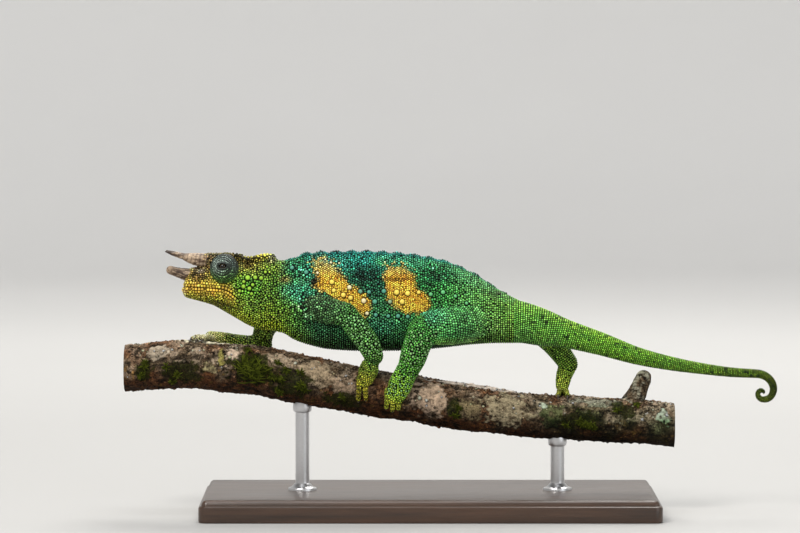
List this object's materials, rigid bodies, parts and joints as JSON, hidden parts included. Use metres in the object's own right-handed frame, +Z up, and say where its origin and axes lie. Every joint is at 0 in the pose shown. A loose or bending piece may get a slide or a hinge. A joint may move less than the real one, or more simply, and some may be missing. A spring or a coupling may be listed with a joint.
{
  "type": "three-horned chameleon",
  "caption": "Life-size still model of a male three-horned chameleon walking along a cut length of branch, on a plain display stand.",
  "frame": {"origin": "centre of the stand base's underside", "axes": "+X from the animal's head to its tail, +Y to the animal's right side, +Z up"},
  "size_m": [0.2353, 0.078, 0.0947],
  "materials": {
    "head_skin": "beaded scales, yellow-green with yellow-orange lips",
    "body_skin": "beaded scales, dark teal green with two yellow-orange bars",
    "limb_skin": "beaded scales, bright green with pale centres",
    "tail_skin": "beaded scales in rings, green with dark specks",
    "eyelid_skin": "fine scales in rings, dark slate green",
    "eyeball": "wet black",
    "horn": "ringed horn, grey-brown",
    "bark": "rough bark with grey lichen and moss",
    "base_wood": "dark satin wood",
    "rod_steel": "brushed"
  },
  "bodies": {
    "root": {"eye_turret_left": "eyelid_skin", "eye_turret_right": "eyelid_skin", "eyeball_left": "eyeball", "eyeball_right": "eyeball", "foot_front_left": "limb_skin", "foot_front_right": "limb_skin", "foot_rear_left": "limb_skin", "foot_rear_right": "limb_skin", "forearm_left": "limb_skin", "forearm_right": "limb_skin", "head": "head_skin", "horn_orbital_left": "horn", "horn_orbital_right": "horn", "horn_rostral": "horn", "jaw": "head_skin", "neck": "head_skin", "perch": "bark", "shin_left": "limb_skin", "shin_right": "limb_skin", "stand_base": "base_wood", "stand_rod_front": "rod_steel", "stand_rod_rear": "rod_steel", "tail_1": "tail_skin", "tail_2": "tail_skin", "tail_3": "tail_skin", "tail_4": "tail_skin", "tail_5": "tail_skin", "tail_curl_1": "tail_skin", "tail_curl_2": "tail_skin", "tail_curl_3": "tail_skin", "thigh_left": "limb_skin", "thigh_right": "limb_skin", "toes_inner_front_left": "limb_skin", "toes_inner_front_right": "limb_skin", "toes_inner_rear_left": "limb_skin", "toes_inner_rear_right": "limb_skin", "torso_front": "body_skin", "torso_rear": "body_skin", "upper_arm_left": "limb_skin", "upper_arm_right": "limb_skin"}
  },
  "joints": []
}
